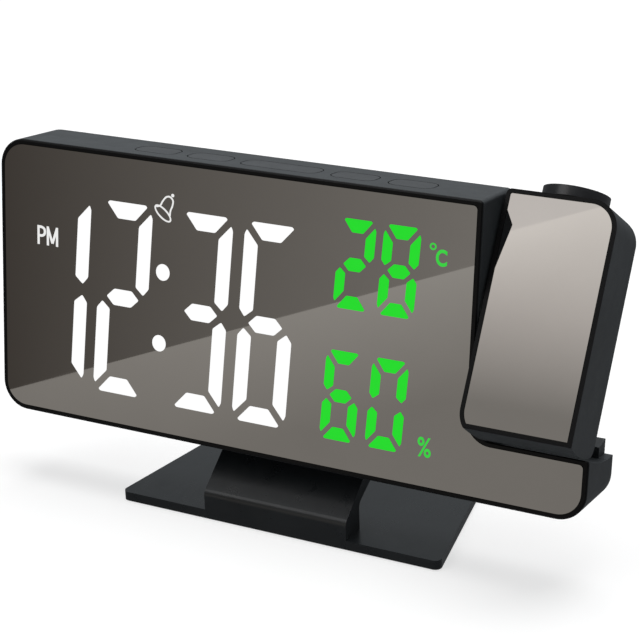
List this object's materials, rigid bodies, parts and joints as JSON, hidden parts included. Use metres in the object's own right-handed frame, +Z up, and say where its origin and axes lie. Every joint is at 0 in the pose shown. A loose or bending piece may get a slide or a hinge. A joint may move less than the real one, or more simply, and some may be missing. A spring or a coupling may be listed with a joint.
{
  "type": "projection alarm clock",
  "caption": "Mirror-fronted digital alarm clock with top keys, a tilting projector head set in a notch, and a flat sloped desk stand.",
  "frame": {"origin": "centre of the stand's underside, on the surface that it stands on", "axes": "+X along the clock's width to the right of the display, +Y to the rear, +Z up"},
  "size_m": [0.19, 0.0664, 0.1091],
  "materials": {
    "case_black": "fine satin texture",
    "stand_black": "semi gloss",
    "mirror_face": "dark mirror coat",
    "head_mirror_face": "mirror coat",
    "pad_rubber": "matte",
    "screw_steel": "zinc plated",
    "white_film": "translucent film",
    "reflector_white": "matte",
    "board_green": "solder mask",
    "switch_black": "matte",
    "key_black": "satin",
    "speaker_metal": "satin",
    "sensor_white": "matte",
    "socket_steel": "plain",
    "inlet_black": "matte",
    "cell_steel": "plain",
    "bush_nylon": "matte",
    "axle_steel": "ground",
    "cable_black": "matte",
    "lens_glass": "clear",
    "led_yellow": "clear resin"
  },
  "bodies": {
    "clock_body": {"stand": "stand_black", "anti_slip_pad": "pad_rubber", "stand_screws": "screw_steel", "front_case": "case_black", "rear_cover": "case_black", "front_mirror": "mirror_face", "case_screws": "screw_steel", "usb_socket": "socket_steel", "dc_inlet": "inlet_black", "speaker": "speaker_metal", "room_sensor": "sensor_white", "battery_holder": "inlet_black", "coin_cell": "cell_steel", "battery_contact": "screw_steel", "diffuser_film": "white_film", "segment_reflector": "reflector_white", "main_board": "board_green", "key_board": "board_green", "tact_switches": "switch_black", "hinge_bush": "bush_nylon", "hinge_washer": "screw_steel", "cable_header": "bush_nylon"},
    "projector_head": {"head_case": "case_black", "head_rear_cover": "case_black", "head_mirror": "head_mirror_face", "head_screws": "screw_steel", "hinge_axle": "axle_steel", "hinge_clip": "screw_steel", "projector_cable": "cable_black", "optics_tube": "inlet_black", "lcd_slide": "lens_glass", "condenser_lens": "lens_glass", "projector_board": "board_green", "projector_led": "led_yellow"},
    "focus_ring": {"focus_ring": "inlet_black"},
    "lens_unit": {"lens_barrel": "inlet_black", "projection_lens": "lens_glass"},
    "battery_door": {"battery_door": "case_black"},
    "mode_key": {"mode_key": "key_black"},
    "down_key": {"down_key": "key_black"},
    "snooze_key": {"snooze_key": "key_black"},
    "up_key": {"up_key": "key_black"},
    "projection_key": {"projection_key": "key_black"}
  },
  "joints": [
    {"name": "head_tilt", "type": "hinge", "parent": "clock_body", "child": "projector_head", "pos_m": [0.0618, -0.01156, 0.07367], "axis": [-1, 0, 0], "range_deg": [-114.34, 65.66]},
    {"name": "focus_turn", "type": "hinge", "parent": "projector_head", "child": "focus_ring", "pos_m": [0.0779, 0.00584, 0.10153], "axis": [0, 0.5295, 0.8483], "range_deg": [-60, 60]},
    {"name": "lens_travel", "type": "slide", "parent": "projector_head", "child": "lens_unit", "axis": [0, 0.5295, 0.8483], "range_m": [-0.001, 0.001]},
    {"name": "battery_door_swing", "type": "hinge", "parent": "clock_body", "child": "battery_door", "pos_m": [0.03, -0.00434, 0.05787], "axis": [-1, 0, 0], "range_deg": [0, 100]},
    {"name": "mode_key_press", "type": "slide", "parent": "clock_body", "child": "mode_key", "axis": [0, -0.1328, -0.9911], "range_m": [0, 0.0008], "stiffness_N_per_m": 600},
    {"name": "down_key_press", "type": "slide", "parent": "clock_body", "child": "down_key", "axis": [0, -0.1328, -0.9911], "range_m": [0, 0.0008], "stiffness_N_per_m": 600},
    {"name": "snooze_key_press", "type": "slide", "parent": "clock_body", "child": "snooze_key", "axis": [0, -0.1328, -0.9911], "range_m": [0, 0.0008], "stiffness_N_per_m": 600},
    {"name": "up_key_press", "type": "slide", "parent": "clock_body", "child": "up_key", "axis": [0, -0.1328, -0.9911], "range_m": [0, 0.0008], "stiffness_N_per_m": 600},
    {"name": "projection_key_press", "type": "slide", "parent": "clock_body", "child": "projection_key", "axis": [0, -0.1328, -0.9911], "range_m": [0, 0.0008], "stiffness_N_per_m": 600}
  ],
  "couplings": [
    {"joint": "focus_turn", "follows": "lens_travel", "rad_per_m": 1047.1}
  ]
}
